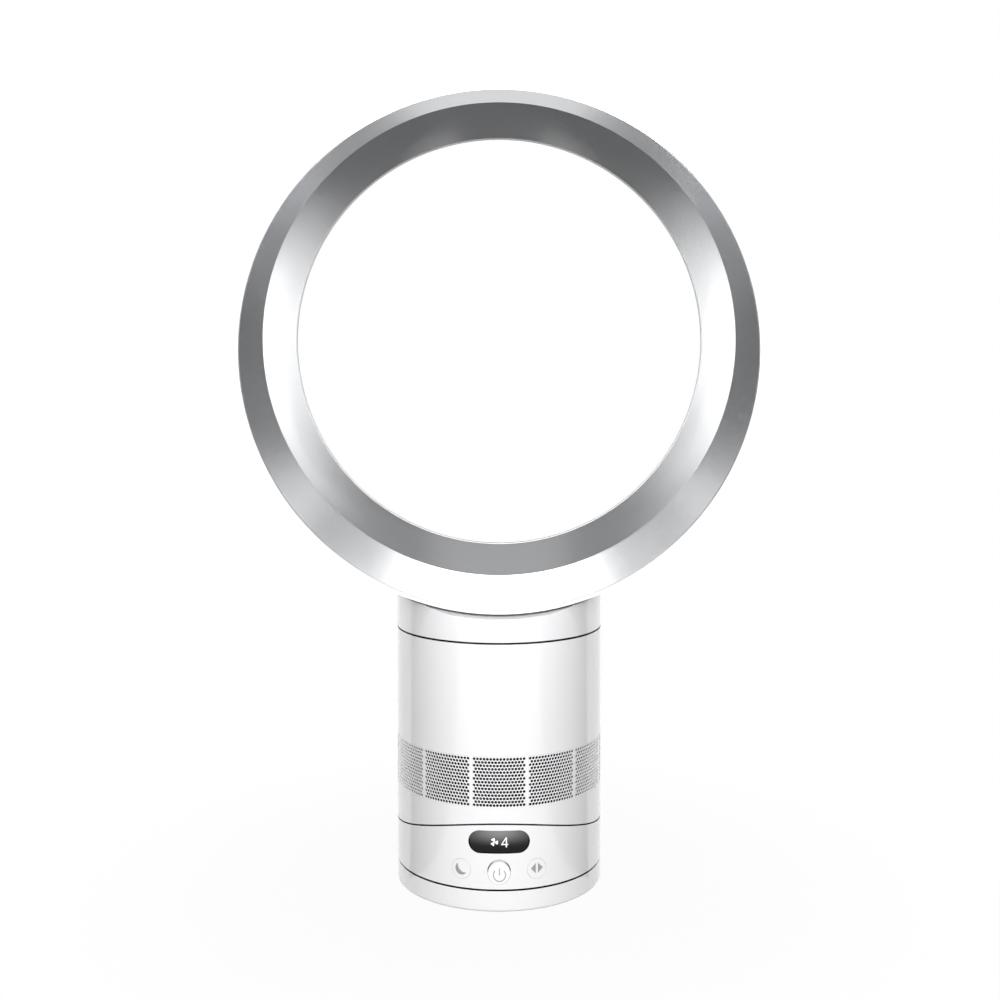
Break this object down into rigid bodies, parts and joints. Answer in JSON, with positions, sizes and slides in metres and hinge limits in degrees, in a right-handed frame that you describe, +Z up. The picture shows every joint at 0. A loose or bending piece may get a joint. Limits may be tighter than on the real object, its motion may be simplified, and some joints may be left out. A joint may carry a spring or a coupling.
{
  "type": "bladeless fan",
  "caption": "White bladeless desk fan: hollow round ring with a silver inner face on a round tower with a pierced air inlet, a swinging and tilting base, a small display and buttons.",
  "frame": {"origin": "centre of the underside, on the surface that the fan stands on", "axes": "+Z up, -Y out of the front where the air leaves and the controls are, +X to the right seen from the front"},
  "size_m": [0.356, 0.145, 0.5534],
  "materials": {
    "white_shell": "gloss",
    "silver_ring": "metallic silver lacquer",
    "grille_white": "gloss",
    "button_white": "gloss",
    "display_black": "high gloss",
    "inner_grey": "matt",
    "inner_white": "matt",
    "inner_black": "matt",
    "gear_nylon": "matt",
    "board_green": "satin",
    "foam_grey": "open-cell foam",
    "rubber_black": "matt",
    "rubber_grey": "matt",
    "screw_steel": "plated",
    "shaft_steel": "ground",
    "core_steel": "laminated",
    "motor_steel": "plated",
    "winding_copper": "enamelled copper wire",
    "sink_aluminium": "satin",
    "magnet_grey": "sintered"
  },
  "bodies": {
    "foot": {"foot_shell": "white_shell", "rubber_ring": "rubber_black", "cord_bush": "rubber_grey", "ring_gear": "gear_nylon", "gear_screws": "screw_steel", "glide_ring": "gear_nylon", "pivot_washer": "screw_steel", "pivot_screw": "screw_steel"},
    "turret": {"turret_shell": "white_shell", "turret_floor": "inner_white", "floor_screws": "screw_steel", "swing_motor": "motor_steel", "motor_screws": "screw_steel", "display_window": "display_black", "display_board": "board_green", "display_lights": "inner_white", "remote_receiver": "inner_black", "switch_carrier": "inner_black", "switch_strip": "board_green", "switches": "inner_black"},
    "pinion": {"drive_pinion": "gear_nylon"},
    "power_key": {"power_button": "button_white"},
    "sleep_key": {"sleep_button": "button_white"},
    "swing_key": {"swing_button": "button_white"},
    "tower": {"tower_shell": "white_shell", "inlet_grille": "grille_white", "saddle": "inner_white", "saddle_screws": "screw_steel", "tilt_hooks": "gear_nylon", "hook_screws": "screw_steel", "tilt_glides": "gear_nylon", "driver_board": "board_green", "board_screws": "screw_steel", "capacitors": "inner_black", "choke": "winding_copper", "heat_sink": "sink_aluminium", "silencer_foam": "foam_grey", "bell_mouth": "inner_grey", "impeller_shroud": "inner_grey", "diffuser_vanes": "inner_grey", "motor_bucket": "inner_grey", "motor_cap": "inner_grey", "bearings": "shaft_steel", "stator_core": "core_steel", "stator_windings": "winding_copper", "lock_ring": "inner_white", "neck_seal": "rubber_grey", "ring_collar": "inner_white", "collar_screws": "screw_steel", "outer_casing": "white_shell", "inner_casing": "silver_ring", "slot_spacers": "inner_white", "flow_divider": "inner_white"},
    "rotor": {"impeller": "inner_black", "motor_shaft": "shaft_steel", "impeller_nut": "screw_steel", "rotor_magnet": "magnet_grey"}
  },
  "joints": [
    {"name": "oscillation", "type": "hinge", "parent": "foot", "child": "turret", "pos_m": [0, 0, 0], "axis": [0, 0, 1], "range_deg": [-35, 35]},
    {"name": "pinion_spin", "type": "hinge", "parent": "turret", "child": "pinion", "pos_m": [0, 0.034, 0], "axis": [0, 0, 1], "range_deg": [-120, 120]},
    {"name": "tilt", "type": "hinge", "parent": "turret", "child": "tower", "pos_m": [0, 0, 0.225], "axis": [1, 0, 0], "range_deg": [-10, 10]},
    {"name": "impeller_spin", "type": "hinge", "parent": "tower", "child": "rotor", "pos_m": [0, 0, 0], "axis": [0, 0, 1], "continuous": true},
    {"name": "power_press", "type": "slide", "parent": "turret", "child": "power_key", "axis": [0, 1, 0], "range_m": [0, 0.0008], "stiffness_N_per_m": 1500},
    {"name": "sleep_press", "type": "slide", "parent": "turret", "child": "sleep_key", "axis": [0.3486, 0.9373, 0], "range_m": [0, 0.0008], "stiffness_N_per_m": 1500},
    {"name": "swing_press", "type": "slide", "parent": "turret", "child": "swing_key", "axis": [-0.3486, 0.9373, 0], "range_m": [0, 0.0008], "stiffness_N_per_m": 1500}
  ],
  "couplings": [
    {"joint": "pinion_spin", "follows": "oscillation", "ratio": 3.25}
  ]
}
